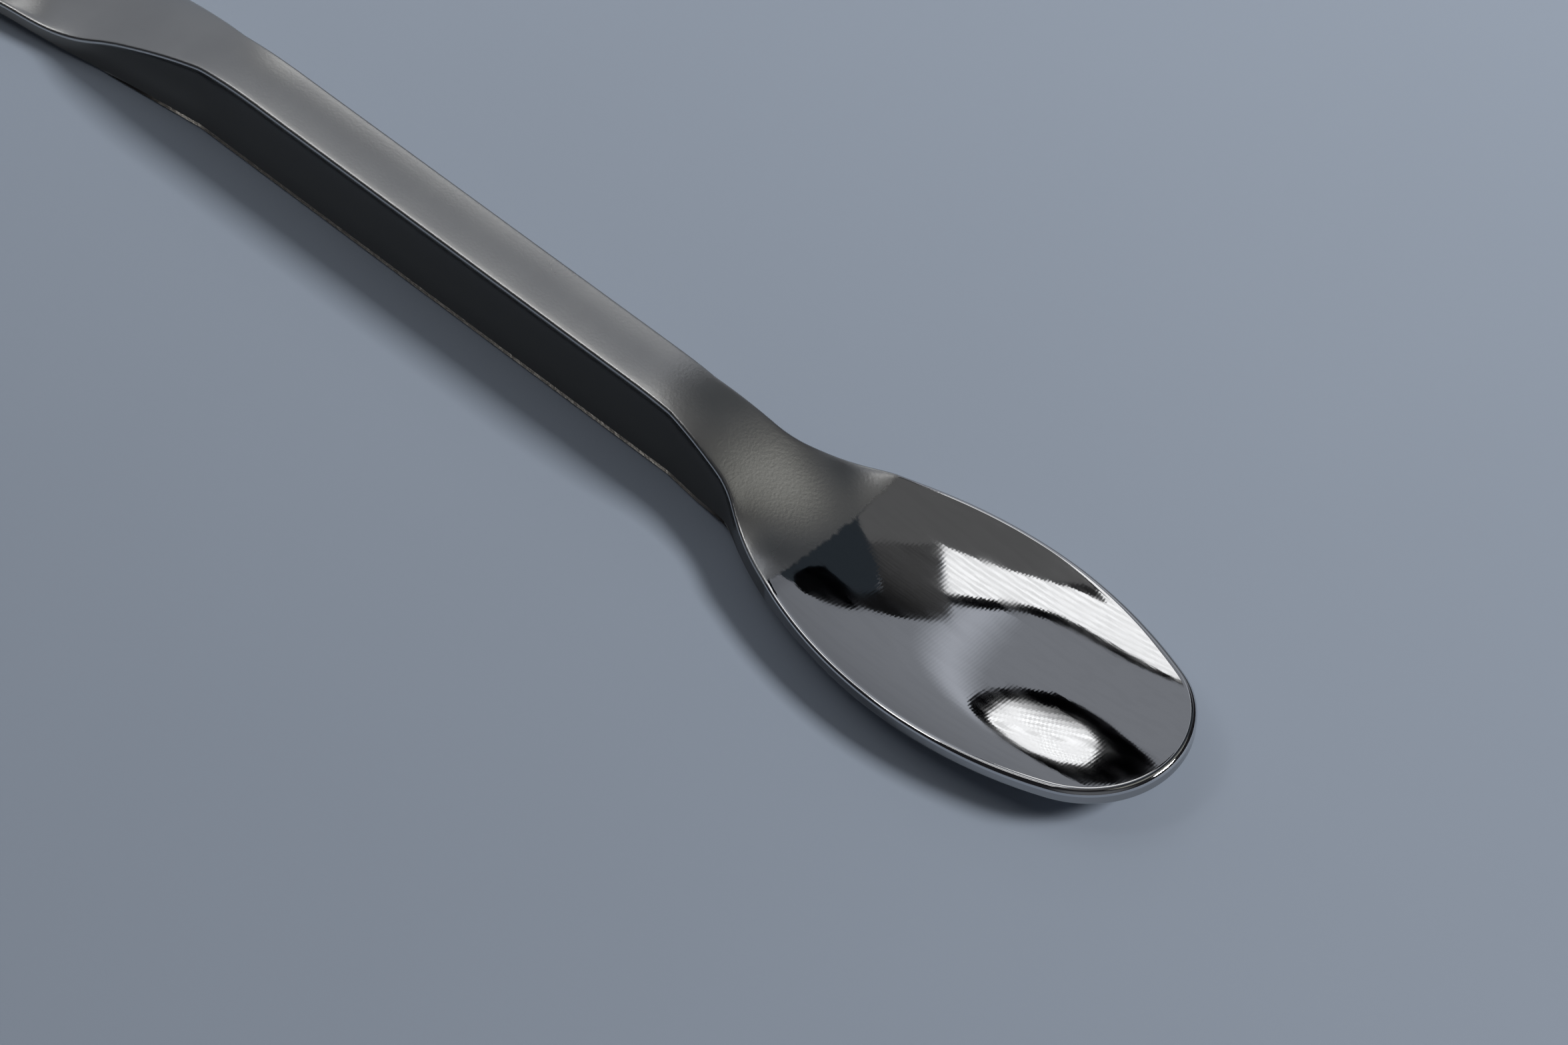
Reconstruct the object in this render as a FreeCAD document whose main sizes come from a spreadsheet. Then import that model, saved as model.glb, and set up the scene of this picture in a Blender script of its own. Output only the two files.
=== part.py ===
import FreeCAD, Part
import Sketcher
import os

# Lingual retractor, one piece of formed steel. Millimetres, +Z up.
# The grip is a channel, open below, that stands on its two long feet.
# At each end the crowned top of the grip runs down a ramp and past a neck into a dished blade.
# The walls of the channel fade out below each neck along a slanted line.
# X runs along the grip, with the broad blade at +X and the slim one at -X.
# The origin is in the middle of the part, on the plane that it rests on.

DIMENSIONS = {
    # whole part
    "overall_length": 208.8,
    "wall": 2.0,
    # grip
    "grip_height": 10.3,
    "top_width": 7.0,
    "foot_width": 8.2,
    "crown_radius": 25.0,
    # flare of the walls, from where it starts to the widest place of a blade
    "flare_angle": 6.8,
    "broad_flare_length": 40.5,
    "slim_flare_length": 44.0,
    # ramps, where the upper face falls from the grip to a blade, set back from the tip
    "broad_ramp_setback": 74.0,
    "broad_ramp_length": 28.9,
    "slim_ramp_setback": 81.7,
    "slim_ramp_length": 39.0,
    # where the crown across the upper face turns into the dish
    "broad_turn_setback": 56.7,
    "broad_turn_length": 10.0,
    "slim_turn_setback": 52.4,
    "slim_turn_length": 12.0,
    # slanted ends of the feet
    "foot_slant": 6.3,
    "broad_foot_setback": 62.9,
    "slim_foot_setback": 55.4,
    # broad blade, seen from above
    "broad_width": 28.1,
    "broad_side_radius": 56.7,
    "broad_tip_radius": 11.2,
    "broad_neck_radius": 8.0,
    # slim blade, seen from above
    "slim_width": 19.5,
    "slim_side_radius": 110.0,
    "slim_tip_radius": 8.5,
    "slim_neck_radius": 22.0,
    # dish of both blades, with its lowest place set back from the tip
    "dish_radius": 38.0,
    "dish_floor": 2.25,
    "dish_setback": 31.3,
    "rise_radius": 124.5,
}

# How many sections the upper face runs through, on each half of the part.
GRIP_SECTIONS = 2
RAMP_SECTIONS = 10
BLADE_SECTIONS = 7
SECTIONS_PAST_TIP = 1

# How far the blocks that shape the part reach past it.
REACH = 4.0
DEPTH = "(dims.grip_height + dims.broad_width / 2)"
OVER_TOP = f"(dims.grip_height + {REACH})"

BROAD = 1
SLIM = -1
BLADES = {BROAD: "broad", SLIM: "slim"}

doc = FreeCAD.newDocument("lingual_retractor")


def add_dimensions():
    """The sheet of driving sizes, one named cell each."""
    sheet = doc.addObject("Spreadsheet::Sheet", "dims")
    for row, (name, value) in enumerate(DIMENSIONS.items(), start=1):
        sheet.set(f"A{row}", name)
        sheet.set(f"B{row}", str(value))
        sheet.setAlias(f"B{row}", name)
    doc.recompute()
    return sheet


dims = add_dimensions()


def size(expression):
    """The value of an expression in the named sizes."""
    return float(dims.evalExpression(expression))


def bind(item, **sizes):
    """Tie properties of an object to expressions in the named sizes."""
    for name, expression in sizes.items():
        item.setExpression(name.replace("__", "."), expression)
    return item


def add(kind, name, **sizes):
    """A new object of the document, tied to the named sizes."""
    return bind(doc.addObject(kind, name), **sizes)


def combine(kind, name, shapes):
    """What several objects share, or all that they fill."""
    item = doc.addObject(kind, name)
    item.Shapes = shapes
    return item


def cut(name, base, tool):
    """One object less another."""
    item = doc.addObject("Part::Cut", name)
    item.Base = base
    item.Tool = tool
    return item


def round_edges(name, base, radius, wanted):
    """Round those edges of base that wanted picks."""
    doc.recompute()
    item = doc.addObject("Part::Fillet", name)
    item.Base = base
    item.Edges = [
        (number, radius, radius)
        for number, edge in enumerate(base.Shape.Edges, start=1)
        if wanted(edge)
    ]
    return item


def is_upright(edge):
    """Whether an edge of an outline block runs up its side."""
    box = edge.BoundBox
    return box.ZLength > box.XLength + box.YLength


def widest_at(blade):
    """Distance along X from the middle of the part to the widest place of a blade."""
    side = f"dims.{blade}_side_radius"
    tip = f"dims.{blade}_tip_radius"
    side_centre = f"({side} - dims.{blade}_width / 2)"
    return f"(dims.overall_length / 2 - {tip} - sqrt(({side} - {tip})^2 - {side_centre}^2))"


def set_back(distance):
    """Distance along X from the middle of the part to a place that is set back from the tip."""
    return f"(dims.overall_length / 2 - dims.{distance})"


def blade_outline(end, inset, bottom, name):
    """An upright block with the outline of a blade: two side arcs and a round tip."""
    blade = BLADES[end]
    sides = [
        add("Part::Cylinder", f"{name}_{hand_name}_side",
            Radius=f"dims.{blade}_side_radius - {inset}",
            Height=f"{OVER_TOP} - {bottom}",
            Placement__Base__x=f"{end} * {widest_at(blade)}",
            Placement__Base__y=f"{hand} * (dims.{blade}_side_radius - dims.{blade}_width / 2)",
            Placement__Base__z=bottom)
        for hand, hand_name in ((1, "right"), (-1, "left"))
    ]
    lens = combine("Part::MultiCommon", f"{name}_lens", sides)
    middle = size(widest_at(blade))
    tip_radius = size(f"dims.{blade}_tip_radius - {inset}")

    def at_tip(edge):
        return is_upright(edge) and end * edge.BoundBox.Center.x > middle

    return round_edges(f"{name}_tip", lens, tip_radius, at_tip)


def cross_section(name, along, low_half, high_half, bottom):
    """A symmetric four-sided section of an outline block, standing across the part."""
    # The constraints number the axes of the sketch too: -1 is its X axis and -2 its Y axis.
    sketch = doc.addObject("Sketcher::SketchObject", name)
    corners = [FreeCAD.Vector(*corner) for corner in ((-2, 0), (2, 0), (1, 1), (-1, 1))]
    for start, end in zip(corners, corners[1:] + corners[:1]):
        sketch.addGeometry(Part.LineSegment(start, end))
    for line in range(4):
        sketch.addConstraint(Sketcher.Constraint("Coincident", line, 2, (line + 1) % 4, 1))
    sketch.addConstraint(Sketcher.Constraint("PointOnObject", 0, 1, -1))
    sketch.addConstraint(Sketcher.Constraint("Symmetric", 0, 1, 0, 2, -2))
    sketch.addConstraint(Sketcher.Constraint("Symmetric", 2, 1, 2, 2, -2))
    driven = {
        "low_width": (("DistanceX", 0, 1, 0, 2), f"2 * {low_half}"),
        "high_width": (("DistanceX", 2, 2, 2, 1), f"2 * {high_half}"),
        "tall": (("DistanceY", 0, 2, 1, 2), f"{OVER_TOP} - ({bottom})"),
    }
    for label, (constraint, expression) in driven.items():
        number = sketch.addConstraint(Sketcher.Constraint(*constraint, size(expression)))
        sketch.renameConstraint(number, label)
        sketch.setExpression(f"Constraints.{label}", expression)
    sketch.Placement.Rotation = FreeCAD.Rotation(
        FreeCAD.Vector(0, 1, 0), FreeCAD.Vector(0, 0, 1), FreeCAD.Vector(1, 0, 0))
    return bind(sketch, Placement__Base__x=along, Placement__Base__z=bottom)


def walls_outline(inset, bottom, name):
    """A long block with the outline of the walls: leaning in at the top, flared at both ends."""
    lean = "(dims.foot_width - dims.top_width) / 2 / dims.grip_height"
    low_half = f"dims.foot_width / 2 - {inset} - {lean} * ({bottom})"
    high_half = f"dims.foot_width / 2 - {inset} - {lean} * {OVER_TOP}"
    places = []
    for end, blade in BLADES.items():
        length = f"dims.{blade}_flare_length"
        places.append((f"{end} * {widest_at(blade)}", f"{length} * tan(dims.flare_angle * 1 deg)"))
        places.append((f"{end} * ({widest_at(blade)} - {length})", "0"))
    places.sort(key=lambda place: size(place[0]))
    block = doc.addObject("Part::Loft", name)
    block.Solid = True
    block.Ruled = True
    block.Sections = [
        cross_section(
            f"{name}_section_{number}", along,
            f"({low_half} + {flare})", f"({high_half} + {flare})", bottom)
        for number, (along, flare) in enumerate(places, start=1)
    ]
    return block


def outline(inset, bottom, name):
    """An upright block with the outline of the part, drawn in by inset, its necks rounded."""
    pieces = [walls_outline(inset, bottom, f"{name}_walls")]
    pieces += [blade_outline(end, inset, bottom, f"{name}_{BLADES[end]}") for end in BLADES]
    block = combine("Part::MultiFuse", f"{name}_outline", pieces)
    for end, blade in BLADES.items():
        widest = size(widest_at(blade))
        past_flare = widest - size(f"dims.{blade}_flare_length - dims.wall")

        def at_neck(edge):
            middle = edge.BoundBox.Center
            off_axis = abs(middle.y) > size("dims.wall / 4")
            return is_upright(edge) and past_flare < end * middle.x < widest and off_axis

        radius = size(f"dims.{blade}_neck_radius + {inset}")
        block = round_edges(f"{name}_{blade}_neck", block, radius, at_neck)
    return block


def eased(along, start, length):
    """Share of a change that is done at a place along X, level before and after it."""
    share = f"min(1; max(0; ({along} - {start}) / {length}))"
    return f"(({share})^2 * (3 - 2 * {share}))"


def places_of_half(blade):
    """Places along one half of the part, from the grip to past the tip."""
    ramp_start = set_back(f"{blade}_ramp_setback")
    ramp_length = f"dims.{blade}_ramp_length"
    ramp_end = f"({ramp_start} + {ramp_length})"
    for step in range(1, GRIP_SECTIONS + 1):
        yield f"({ramp_start} * {step} / {GRIP_SECTIONS})"
    for step in range(1, RAMP_SECTIONS + 1):
        yield f"({ramp_start} + {ramp_length} * {step} / {RAMP_SECTIONS})"
    for step in range(1, BLADE_SECTIONS + SECTIONS_PAST_TIP + 1):
        yield f"({ramp_end} + (dims.overall_length / 2 - {ramp_end}) * {step} / {BLADE_SECTIONS})"


def section_at(end, along):
    """One section of the upper face: place along X, height in the middle, bend across."""
    blade = BLADES[end]
    lowest = set_back("dish_setback")
    blade_height = f"(dims.dish_floor + ({along} - {lowest})^2 / (2 * dims.rise_radius))"
    fallen = eased(along, set_back(f"{blade}_ramp_setback"), f"dims.{blade}_ramp_length")
    height = f"(dims.grip_height + ({blade_height} - dims.grip_height) * {fallen})"
    turned = eased(along, set_back(f"{blade}_turn_setback"), f"dims.{blade}_turn_length")
    bend = f"({turned} / dims.dish_radius - (1 - {turned}) / dims.crown_radius)"
    return f"{end} * {along}", height, bend


def cross_arc(name, along, height, bend):
    """An arc across the part: a crown where bend is negative, a dish where it is positive."""
    dished = size(bend) > 0
    facing = 1 if dished else -1
    middle = 270 if dished else 90
    widest = "max(dims.broad_width; dims.slim_width)"
    half = f"asin(({widest} / 2 + dims.wall) * abs({bend}))"
    arc = add(
        "Part::Circle", name,
        Radius=f"1 / abs({bend})",
        Angle1=f"{middle} deg - {half}", Angle2=f"{middle} deg + {half}")
    arc.Placement.Rotation = FreeCAD.Rotation(
        FreeCAD.Vector(0, facing, 0), FreeCAD.Vector(0, 0, 1), FreeCAD.Vector(facing, 0, 0))
    return bind(arc, Placement__Base__x=along, Placement__Base__z=f"{height} + 1 / {bend}")


def formed_face():
    """The upper face of the whole part, run through an arc at each section."""
    sections = [section_at(SLIM, along) for along in places_of_half("slim")][::-1]
    sections.append(section_at(BROAD, "0"))
    sections += [section_at(BROAD, along) for along in places_of_half("broad")]
    face = doc.addObject("Part::Loft", "formed_face")
    face.Solid = False
    face.Sections = [
        cross_arc(f"section_{number:02d}", *section)
        for number, section in enumerate(sections, start=1)
    ]
    return face


def all_below(face, drop, name):
    """All that lies below the formed face, from drop under it downwards."""
    block = doc.addObject("Part::Extrusion", name)
    block.Base = face
    block.DirMode = "Custom"
    block.Dir = FreeCAD.Vector(0, 0, -1)
    block.Solid = True
    return bind(block, LengthFwd=DEPTH, LengthRev=f"-({drop})")


def below_slant(end):
    """All that lies below the slanted line where the feet fade out under a blade."""
    blade = BLADES[end]
    length = "dims.overall_length / 2"
    start = set_back(f"{blade}_foot_setback")
    sine = "sin(dims.foot_slant * 1 deg)"
    cosine = "cos(dims.foot_slant * 1 deg)"
    along = f"{start} + {DEPTH} * {sine}"
    height = f"-{DEPTH} * {cosine}"
    if end == SLIM:
        along = f"-({along}) - {length} * {cosine}"
        height = f"{height} + {length} * {sine}"
    block = doc.addObject("Part::Box", f"{blade}_below_slant")
    block.Placement.Rotation = FreeCAD.Rotation(FreeCAD.Vector(0, -end, 0), 1)
    return bind(
        block, Length=length, Width=f"dims.{blade}_width + {REACH}", Height=DEPTH,
        Placement__Rotation__Angle="dims.foot_slant * 1 deg",
        Placement__Base__x=along,
        Placement__Base__y=f"-(dims.{blade}_width + {REACH}) / 2",
        Placement__Base__z=height)


def retractor():
    """The part: its outline under the formed face, less the channel and what the slants take."""
    face = formed_face()
    full = combine("Part::MultiCommon", "full_form", [
        outline("0", "0", "outer"), all_below(face, "0", "below_face")])
    removed = combine("Part::MultiFuse", "removed_plan", [
        outline("dims.wall", f"-{REACH}", "inner"), below_slant(BROAD), below_slant(SLIM)])
    hollow = combine("Part::MultiCommon", "hollow", [
        removed, all_below(face, "dims.wall", "below_sheet")])
    part = cut("retractor", full, hollow)
    part.Label = "retractor"
    return part


def export(part):
    """Check the document, then write the part under its own name."""
    doc.recompute()
    failed = [item.Name for item in doc.Objects if {"Invalid", "Error"} & set(item.State)]
    if failed:
        raise RuntimeError(f"these objects failed: {failed}")
    if part.Shape.isNull() or not part.Shape.isValid():
        raise RuntimeError(f"{part.Label} has no valid shape")
    os.makedirs("parts", exist_ok=True)
    part.Shape.exportStep(f"parts/{part.Label}.step")


export(retractor())
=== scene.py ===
"""Studio scene of a lingual retractor, one piece of formed and polished steel.

The grip is a channel that stands on its two long feet. At each end its crowned top runs down a
ramp and past a neck into a dished blade. The grip, ramps and necks are bead blasted, and the
blades are polished like a mirror. The shape's sizes are millimetres, and everything else is
metres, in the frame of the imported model.
"""

from __future__ import annotations

import logging
import math
from collections.abc import Callable
from dataclasses import dataclass, field
from enum import Enum

import bmesh
import bpy
from mathutils import Matrix, Vector


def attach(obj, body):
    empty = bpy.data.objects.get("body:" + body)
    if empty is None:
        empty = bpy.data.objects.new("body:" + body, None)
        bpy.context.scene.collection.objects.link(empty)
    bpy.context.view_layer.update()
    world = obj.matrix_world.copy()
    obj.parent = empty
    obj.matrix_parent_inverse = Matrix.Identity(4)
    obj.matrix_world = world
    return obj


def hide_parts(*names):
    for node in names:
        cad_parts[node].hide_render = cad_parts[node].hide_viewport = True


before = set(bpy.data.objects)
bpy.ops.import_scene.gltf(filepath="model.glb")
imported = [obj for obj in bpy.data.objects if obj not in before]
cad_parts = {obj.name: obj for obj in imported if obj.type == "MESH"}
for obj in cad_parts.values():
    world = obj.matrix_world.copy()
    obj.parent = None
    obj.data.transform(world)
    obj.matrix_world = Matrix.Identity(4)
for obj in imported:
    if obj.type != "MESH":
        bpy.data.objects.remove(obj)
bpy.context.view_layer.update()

MM = 0.001
# The vertex layer that tells the walls and the lower side from the upper face; the steel paints
# shade on them by it and makes them smoother.
WALL = "wall"
# The place on the table from which the directions of lamps and cards are counted.
STAGE_MIDDLE = (0.08, 0.0)
ROOM_PALE = (0.245, 0.257, 0.283)
LOG = logging.getLogger("retractor")

Triple = tuple[float, float, float]
Colour = Triple
Span = tuple[float, float]
Point = tuple[Vector, float]
Socket = bpy.types.NodeSocket
Source = Socket | float


def eased(t: float) -> float:
    """A smooth step from 0 to 1, flat at both ends."""
    t = min(max(t, 0.0), 1.0)
    return t * t * (3.0 - 2.0 * t)


def hung(slope: Span | Vector, height: float) -> Triple:
    """The place at a height that the middle of the stage sees in a direction."""
    return (STAGE_MIDDLE[0] + slope[0] * height, STAGE_MIDDLE[1] + slope[1] * height, height)


class End(Enum):
    """The two ends of the part, by the sign of X."""

    BROAD = 1
    SLIM = -1


class Ribs(Enum):
    """The ribs that show through the cloth of a glowing card, as the wave texture names them."""

    NONE = ""
    STRAIGHT = "BANDS"
    ROUND = "RINGS"


@dataclass(frozen=True)
class Section:
    """The sizes that both halves of the part share.

    Attributes:
        lean: how far the grip's walls lean in for each millimetre of height.
        flare: how fast the half width grows on the way to a neck.
        slant: how steeply the feet end under a neck.
        dish_setback: from the tip back to where the dish is lowest.
        rise_radius: the radius along the middle line with which a blade turns up.
        flat: the bend below which a section counts as flat.
    """

    half_length: float = 104.4
    wall: float = 2.0
    grip_height: float = 10.3
    foot_half: float = 4.1
    lean: float = 0.6 / 10.3
    crown_radius: float = 25.0
    flare: float = math.tan(math.radians(6.8))
    slant: float = math.tan(math.radians(6.3))
    dish_radius: float = 38.0
    dish_floor: float = 2.25
    dish_setback: float = 31.3
    rise_radius: float = 124.5
    flat: float = 1e-6


@dataclass
class Half:
    """One half of the part, from its middle to one tip, seen from above and in section.

    The top runs down along the ramp, and its crown becomes the dish along the turn. Starts and
    ends are distances from the middle of the part, and the tip's angle is in radians.

    Attributes:
        neck_radius: the radius of the hollow between the flare and the blade's side.
        edge_rounds: how many times the height of the upper edge is put right.
        side_drop: how far the centre of a side's circle lies beyond the middle line.
        tip_angle: the angle round the tip at which the side runs into it.
    """

    end: End
    width: float
    side_radius: float
    tip_radius: float
    neck_radius: float
    flare_start: float
    ramp_start: float
    ramp_length: float
    turn_start: float
    turn_length: float
    foot_end: float
    section: Section = field(default_factory=Section)
    edge_rounds: int = 6
    side_drop: float = field(init=False)
    tip_centre: float = field(init=False)
    widest: float = field(init=False)
    tip_start: float = field(init=False)
    tip_angle: float = field(init=False)

    def __post_init__(self) -> None:
        """Works out where the widest place, the tip's centre and the tip's start are."""
        self.side_drop = self.side_radius - self.width / 2
        reach = math.sqrt((self.side_radius - self.tip_radius) ** 2 - self.side_drop**2)
        away = math.hypot(reach, self.side_drop)
        self.tip_centre = self.section.half_length - self.tip_radius
        self.widest = self.tip_centre - reach
        self.tip_start = self.tip_centre + self.tip_radius * reach / away
        self.tip_angle = math.acos((self.tip_start - self.tip_centre) / self.tip_radius)

    def outline(self, x: float, z: float) -> float:
        """The half width of the part at a place along it.

        The centre of the neck's hollow lies where a line beside the flare meets a circle round
        the centre of the blade's side, both one neck radius away from them.

        Args:
            x: distance from the middle of the part.
            z: height above the table, because the walls of the grip lean.

        Returns:
            The half width.
        """
        s = self.section
        if x > self.tip_start:
            return math.sqrt(max(self.tip_radius**2 - (x - self.tip_centre) ** 2, 0.0))
        grip = s.foot_half - s.lean * z
        slope = math.sqrt(1 + s.flare**2)
        rise = grip - s.flare * self.flare_start + self.neck_radius * slope
        offset = rise + self.side_drop
        a = 1 + s.flare**2
        b = 2 * (s.flare * offset - self.widest)
        c = self.widest**2 + offset**2 - (self.side_radius + self.neck_radius) ** 2
        neck_x = (-b - math.sqrt(b * b - 4 * a * c)) / (2 * a)
        neck_y = rise + s.flare * neck_x
        neck_from = neck_x + self.neck_radius * s.flare / slope
        share = self.side_radius / (self.side_radius + self.neck_radius)
        neck_to = self.widest + (neck_x - self.widest) * share
        if x < min(self.flare_start, neck_from):
            return grip
        if x < neck_from:
            return grip + s.flare * (x - self.flare_start)
        if x < neck_to:
            return neck_y - math.sqrt(max(self.neck_radius**2 - (x - neck_x) ** 2, 0.0))
        side = math.sqrt(max(self.side_radius**2 - (x - self.widest) ** 2, 0.0))
        return side - self.side_drop

    def top(self, x: float, y: float) -> float:
        """The height of the upper face at a place.

        Args:
            x: distance from the middle of the part.
            y: distance from the middle line.

        Returns:
            The height above the table.
        """
        s = self.section
        low = s.half_length - s.dish_setback
        arc = s.dish_floor + (x - low) ** 2 / (2 * s.rise_radius)
        ramp = eased((x - self.ramp_start) / self.ramp_length)
        spine = s.grip_height * (1 - ramp) + arc * ramp
        turn = eased((x - self.turn_start) / self.turn_length)
        bend = turn / s.dish_radius - (1 - turn) / s.crown_radius
        if abs(bend) < s.flat:
            return spine
        return spine + (1 - math.sqrt(max(1 - (bend * y) ** 2, 0.0))) / bend

    def under(self, x: float, y: float) -> float:
        """The height of the lower face of the formed sheet."""
        return self.top(x, y) - self.section.wall

    def foot(self, x: float, y: float) -> float:
        """The height at which the metal ends below, foot or sheet."""
        slanted = max((x - self.foot_end) * self.section.slant, 0.0)
        return min(self.under(x, y), slanted)

    def edge(self, x: float) -> Span:
        """The upper edge, whose height and half width depend on each other.

        Args:
            x: distance from the middle of the part.

        Returns:
            The half width and the height of the edge.
        """
        z = self.section.grip_height
        for _ in range(self.edge_rounds):
            z = self.top(x, self.outline(x, z))
        return self.outline(x, z), z


@dataclass
class Column:
    """One place on the outline of the upper edge, and the section of the metal cut there.

    The normal points straight out of the outline, seen from above, and z is the upper edge's
    height. The side is +1 or -1, the sign of Y.
    """

    half: Half
    side: int
    x: float
    y: float
    normal: Vector
    z: float

    def spine(self) -> Vector:
        """The point on the middle line that this section starts from."""
        return Vector((min(self.x, self.half.tip_centre), 0.0))

    def inset(self, depth: float, z: float) -> Vector:
        """The point at a depth inside the straight line of the wall, at a height.

        Args:
            depth: how far inside the wall's line the point lies.
            z: height above the table, because the walls of the grip lean.

        Returns:
            The point, seen from above.
        """
        out = 0.0
        if self.x < self.half.tip_start:
            out = (self.half.outline(self.x, z) - self.y) * self.normal.y
        return Vector((self.x, self.y)) - self.normal * (depth - out)

    def place(self, plan: Vector, z: float) -> Vector:
        """A point of this half in the frame of the whole part, in metres."""
        return Vector((plan.x * self.half.end.value, plan.y * self.side, z)) * MM


@dataclass
class Retractor:
    """The whole instrument as one skin of metal with eased edges.

    Around it go columns, one for each place on the upper edge. Across it go rings: over the upper
    face, round the upper edge, down the wall, round the lower edge, across the foot, up the
    wall's inner face and over the lower face back to the middle line. A tall wall is drawn in to
    a waist between its edges, above a low lip along its foot.

    Attributes:
        tip_edge_from: where the radius of the upper edge begins to grow, over tip_edge_length.
        waist_from: the height of a wall that isn't drawn in yet.
        waist_full: the height of a wall that is fully drawn in.
        lip_top: the share of the wall, from above, over which the lip's step sets in.
        support_depths: how far inside the outline the last rings of the upper face lie.
        steps: how far apart the columns stand, as pairs of a distance and the step up to it.
        tip_step: the angle between two columns round a tip.
        slope_reach: how far before and behind a place the slope of the outline is taken.
        tilt_reach: over what width the tilt of a face is taken.
        merge_gap: how close together two points are merged, in metres.
        thin_edge: how short an edge is taken away, in metres.
        sharp_angle: from what angle on an edge is shown sharp.
    """

    broad: Half = field(default_factory=lambda: Half(
        End.BROAD, width=28.1, side_radius=56.7, tip_radius=11.2, neck_radius=8.0,
        flare_start=36.8, ramp_start=30.4, ramp_length=28.9, turn_start=47.7, turn_length=10.0,
        foot_end=41.5))
    slim: Half = field(default_factory=lambda: Half(
        End.SLIM, width=19.5, side_radius=110.0, tip_radius=8.5, neck_radius=22.0,
        flare_start=36.0, ramp_start=22.7, ramp_length=39.0, turn_start=52.0, turn_length=12.0,
        foot_end=49.0))
    grip_edge: float = 0.42
    tip_edge: float = 0.62
    tip_edge_from: float = 78.0
    tip_edge_length: float = 20.0
    lower_edge: float = 0.25
    waist: float = 0.75
    waist_from: float = 3.0
    waist_full: float = 9.5
    lip: float = 0.16
    lip_height: float = 0.45
    lip_top: float = 0.25
    lip_rings: int = 3
    face_rings: int = 15
    support_depths: tuple[float, ...] = (2.0, 1.5, 1.15, 0.9)
    edge_rings: int = 7
    wall_rings: int = 12
    lower_rings: int = 5
    foot_rings: int = 2
    inner_rings: int = 3
    roof_rings: int = 9
    steps: tuple[Span, ...] = ((20.0, 2.0), (36.0, 0.9), (72.0, 0.55))
    last_step: float = 0.8
    tip_step: float = 3.0
    slope_reach: float = 0.05
    tilt_reach: float = 0.1
    merge_gap: float = 2e-6
    thin_edge: float = 1e-6
    sharp_angle: float = 32.0

    def step(self, x: float) -> float:
        """How far apart the columns stand at a place."""
        return next((step for limit, step in self.steps if x < limit), self.last_step)

    def side_normal(self, half: Half, x: float) -> Vector:
        """The direction that points straight out of the outline, short of the tip.

        Args:
            half: the half of the part.
            x: distance from the middle of the part.

        Returns:
            The direction, one long.
        """
        reach, slope = self.slope_reach, 0.0
        if x + reach > half.tip_start:
            slope = -1 / math.tan(half.tip_angle)
        elif x > 0:
            after, before = half.edge(x + reach)[0], half.edge(max(x - reach, 0.0))[0]
            slope = (after - before) / (2 * reach)
        return Vector((-slope, 1.0)).normalized()

    def half_columns(self, half: Half, side: int) -> list[Column]:
        """The columns of one side of one half, from the middle to the tip.

        Args:
            half: the half of the part.
            side: +1 or -1, the sign of Y.

        Returns:
            The columns, the first at the middle and the last at the tip.
        """
        places = [0.0]
        while places[-1] < half.tip_start:
            places.append(places[-1] + self.step(places[-1]))
        shrink = half.tip_start / places[-1]
        columns = []
        for x in (place * shrink for place in places):
            y, z = half.edge(x)
            columns.append(Column(half, side, x, y, self.side_normal(half, x), z))
        steps = math.ceil(math.degrees(half.tip_angle) / self.tip_step)
        for n in range(1, steps + 1):
            angle = half.tip_angle * (1 - n / steps)
            normal = Vector((math.cos(angle), math.sin(angle)))
            plan = Vector((half.tip_centre, 0.0)) + normal * half.tip_radius
            columns.append(Column(half, side, plan.x, plan.y, normal, half.top(plan.x, plan.y)))
        return columns

    def columns(self) -> list[Column]:
        """Goes once round the part.

        Returns:
            All columns, with the first one repeated at the end.
        """
        right = self.half_columns(self.broad, 1)
        front = self.half_columns(self.broad, -1)[::-1][1:]
        left = self.half_columns(self.slim, -1)[1:]
        back = self.half_columns(self.slim, 1)[::-1][1:]
        return right + front + left + back

    def edge_radius(self, x: float) -> float:
        """The radius of the upper edge, which grows towards a tip."""
        grown = eased((x - self.tip_edge_from) / self.tip_edge_length)
        return self.grip_edge + (self.tip_edge - self.grip_edge) * grown

    def hollow(self, column: Column, z: float) -> float:
        """How far the outer face of a tall wall is drawn in between its edge and its foot.

        Args:
            column: the place on the outline.
            z: height above the table.

        Returns:
            The depth of the hollow.
        """
        tall = column.z - column.half.foot(column.x, column.y)
        share = eased((tall - self.waist_from) / (self.waist_full - self.waist_from))
        down = min(max((column.z - z) / tall, 0.0), 1.0)
        above_lip = eased(tall * (1 - down) / self.lip_height) * eased(down / self.lip_top)
        return share * (self.waist * math.sin(math.pi * down) + self.lip * above_lip)

    def tilt(self, column: Column, height: Callable[[float, float], float],
             depth: float) -> float:
        """The angle at which a face rises towards the outline, near the edge.

        Args:
            column: the place on the outline.
            height: gives the height of the face at a place.
            depth: how far inside the outline the angle is taken.

        Returns:
            The angle in radians.
        """
        inner = column.inset(depth + self.tilt_reach, column.z)
        outer = column.inset(depth, column.z)
        return math.atan2(height(*outer) - height(*inner), self.tilt_reach)

    @staticmethod
    def rounding(column: Column, radius: float, centre: float, start: float, turn: float,
                 count: int) -> list[Point]:
        """Goes round an edge, from one face to the next.

        Args:
            column: the place on the outline.
            radius: the radius of the edge.
            centre: the height of the centre.
            start: the angle at which it starts, from straight up outwards, in radians.
            turn: the angle that it turns through, in radians.
            count: how many points it has.

        Returns:
            The points, seen from above, each with its height.
        """
        points = []
        for n in range(count):
            angle = start + turn * n / (count - 1)
            z = centre + radius * math.cos(angle)
            points.append((column.inset(radius * (1 - math.sin(angle)), z), z))
        return points

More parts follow.
